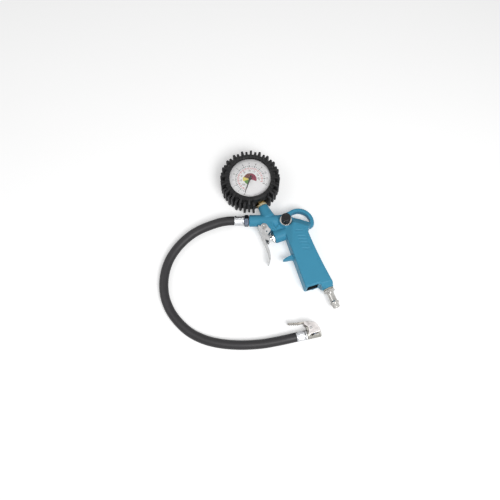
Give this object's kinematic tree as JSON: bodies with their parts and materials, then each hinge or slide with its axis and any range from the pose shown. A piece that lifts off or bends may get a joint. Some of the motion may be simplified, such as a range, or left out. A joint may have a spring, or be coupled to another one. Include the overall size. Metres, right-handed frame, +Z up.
{
  "type": "tyre inflator",
  "caption": "Pistol-grip tyre inflator with a dial gauge in a ribbed rubber boot, squeeze trigger, bleed knob, plug-in air inlet and a short hose that ends in a clip-on valve chuck.",
  "frame": {"origin": "bottom centre of the box round the gun and gauge, on the bench, with the hose and chuck left out", "axes": "+Z up off the bench the tool lies on, +X from the hose outlet towards the grip, +Y towards the gauge"},
  "size_m": [0.2329, 0.2656, 0.0343],
  "materials": {
    "teal": "die-cast, metallic teal enamel",
    "bright": "bright nickel plate",
    "zinc": "satin zinc plate",
    "hose": "smooth moulded rubber",
    "boot": "matt moulded rubber",
    "seal": "soft nitrile",
    "knob": "black moulded plastic",
    "fibre": "off-white fibre washer",
    "brass": "turned and stamped brass",
    "case": "black painted sheet",
    "dial": "white enamel, printed",
    "lens": "clear",
    "spring": "spring wire"
  },
  "bodies": {
    "gun": {"gun_body": "teal", "outlet_fitting": "zinc", "hose_ferrule": "bright", "hose": "hose", "chuck_ferrule": "bright", "chuck_fitting": "zinc", "chuck_body": "bright", "chuck_lever_pin": "zinc", "chuck_spring": "spring", "chuck_seal": "seal", "chuck_core_pin": "brass", "trigger_pin": "zinc", "valve_bush": "bright", "valve_o_ring": "seal", "valve_spring": "spring", "bleed_bush": "bright", "bleed_spring": "spring", "inlet_plug": "bright", "inlet_seal": "fibre", "gauge_boot": "boot", "gauge_case": "case", "gauge_socket": "brass", "gauge_seal_washer": "fibre", "bourdon_tube": "brass", "tube_tip": "brass", "movement_back_plate": "brass", "movement_front_plate": "brass", "movement_pillar_1": "brass", "movement_pillar_2": "brass", "hairspring": "spring", "dial": "dial", "dial_screw_1": "brass", "dial_screw_2": "brass", "gauge_lens": "lens", "lens_ring": "case"},
    "trigger": {"trigger_lever": "zinc"},
    "valve_plunger": {"valve_stem": "bright", "valve_seal": "seal"},
    "bleed_plunger": {"bleed_button": "knob", "bleed_stem": "brass", "bleed_seal": "seal"},
    "sector": {"sector_gear": "brass"},
    "pointer_set": {"pointer": "knob", "pinion": "brass"},
    "link": {"tip_link": "brass"},
    "chuck_clip": {"chuck_lever": "bright"}
  },
  "joints": [
    {"name": "trigger_hinge", "type": "hinge", "parent": "gun", "child": "trigger", "pos_m": [-0.0189, 0.00081, 0.013], "axis": [0, 0, 1], "range_deg": [0, 11], "stiffness_Nm_per_rad": 0.8, "springref_deg": -6.88},
    {"name": "valve_slide", "type": "slide", "parent": "gun", "child": "valve_plunger", "axis": [0.9426, 0.3338, 0], "range_m": [0, 0.0034], "deforming": ["valve_spring"]},
    {"name": "bleed_slide", "type": "slide", "parent": "gun", "child": "bleed_plunger", "axis": [0, 0, -1], "range_m": [0, 0.002], "stiffness_N_per_m": 500, "springref_m": -0.004, "deforming": ["bleed_spring"]},
    {"name": "sector_turn", "type": "hinge", "parent": "gun", "child": "sector", "pos_m": [-0.02097, 0.06008, 0.02], "axis": [0, 0, 1], "range_deg": [0, 33.75], "deforming": ["bourdon_tube"]},
    {"name": "pointer_turn", "type": "hinge", "parent": "gun", "child": "pointer_set", "pos_m": [-0.03742, 0.0674, 0.02], "axis": [0, 0, -1], "range_deg": [0, 270], "deforming": ["hairspring"]},
    {"name": "link_turn", "type": "hinge", "parent": "sector", "child": "link", "pos_m": [-0.01864, 0.05401, 0.021], "axis": [0, 0, 1], "range_deg": [-34, 0.5]},
    {"name": "chuck_clip_hinge", "type": "hinge", "parent": "gun", "child": "chuck_clip", "pos_m": [0.03903, -0.13132, 0.0081], "axis": [0, 0, 1], "range_deg": [0, 15], "stiffness_Nm_per_rad": 0.4, "springref_deg": -8.59, "deforming": ["chuck_spring"]}
  ],
  "couplings": [
    {"joint": "valve_slide", "follows": "trigger_hinge", "m_per_rad": 0.016208},
    {"joint": "pointer_turn", "follows": "sector_turn", "ratio": 8},
    {"joint": "link_turn", "follows": "sector_turn", "ratio": -1}
  ]
}
